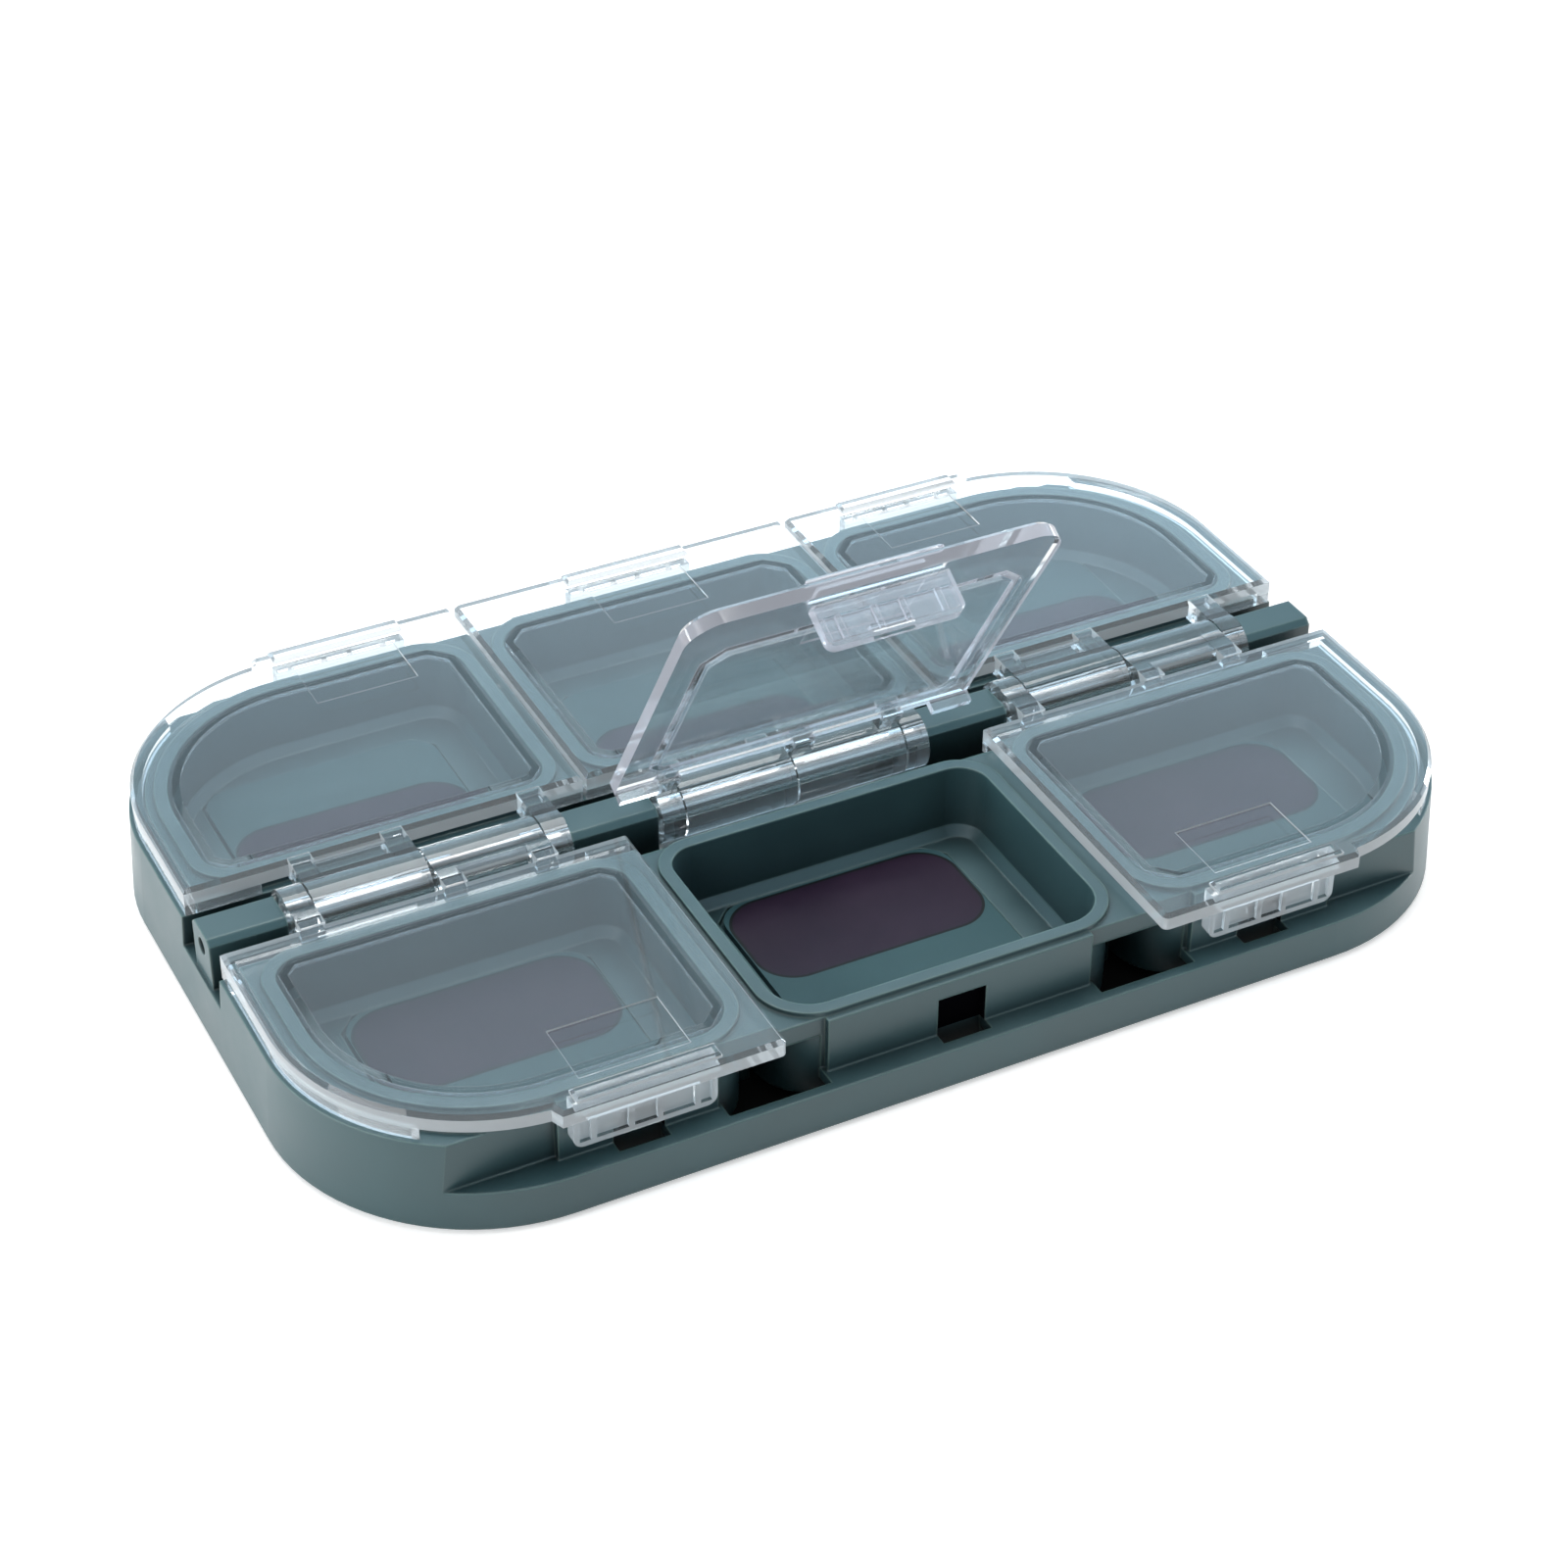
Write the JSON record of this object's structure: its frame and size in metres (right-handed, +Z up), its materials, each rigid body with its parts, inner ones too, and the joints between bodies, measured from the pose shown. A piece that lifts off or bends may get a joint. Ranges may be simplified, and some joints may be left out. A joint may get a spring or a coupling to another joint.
{
  "type": "tackle box",
  "caption": "Shallow moulded tackle box with compartments in two rows, clear latching lids on one central hinge rod and magnetic floor sheets.",
  "frame": {"origin": "middle of the underside, on the surface the box rests on", "axes": "+X along the length, +Y from the front row of lids to the back row, +Z up"},
  "size_m": [0.1218, 0.0776, 0.0445],
  "materials": {
    "tray_plastic": "fine satin",
    "lid_plastic": "clear, polished",
    "sheet_rubber": "flexible magnet sheet, satin",
    "rod_steel": "drawn"
  },
  "bodies": {
    "tray": {"base_tray": "tray_plastic", "hinge_rod": "rod_steel", "magnetic_sheet_front_left": "sheet_rubber", "magnetic_sheet_front_middle": "sheet_rubber", "magnetic_sheet_front_right": "sheet_rubber", "magnetic_sheet_back_left": "sheet_rubber", "magnetic_sheet_back_middle": "sheet_rubber", "magnetic_sheet_back_right": "sheet_rubber"},
    "lid_front_left": {"lid_front_left": "lid_plastic"},
    "lid_front_middle": {"lid_front_middle": "lid_plastic"},
    "lid_front_right": {"lid_front_right": "lid_plastic"},
    "lid_back_left": {"lid_back_left": "lid_plastic"},
    "lid_back_middle": {"lid_back_middle": "lid_plastic"},
    "lid_back_right": {"lid_back_right": "lid_plastic"}
  },
  "joints": [
    {"name": "hinge_front_left", "type": "hinge", "parent": "tray", "child": "lid_front_left", "pos_m": [0, 0, 0.01], "axis": [-1, 0, 0], "range_deg": [0, 110]},
    {"name": "hinge_front_middle", "type": "hinge", "parent": "tray", "child": "lid_front_middle", "pos_m": [0, 0, 0.01], "axis": [-1, 0, 0], "range_deg": [-59, 51]},
    {"name": "hinge_front_right", "type": "hinge", "parent": "tray", "child": "lid_front_right", "pos_m": [0, 0, 0.01], "axis": [-1, 0, 0], "range_deg": [0, 110]},
    {"name": "hinge_back_left", "type": "hinge", "parent": "tray", "child": "lid_back_left", "pos_m": [0, 0, 0.01], "axis": [-1, 0, 0], "range_deg": [-110, 0]},
    {"name": "hinge_back_middle", "type": "hinge", "parent": "tray", "child": "lid_back_middle", "pos_m": [0, 0, 0.01], "axis": [-1, 0, 0], "range_deg": [-50, 0]},
    {"name": "hinge_back_right", "type": "hinge", "parent": "tray", "child": "lid_back_right", "pos_m": [0, 0, 0.01], "axis": [-1, 0, 0], "range_deg": [-110, 0]}
  ]
}
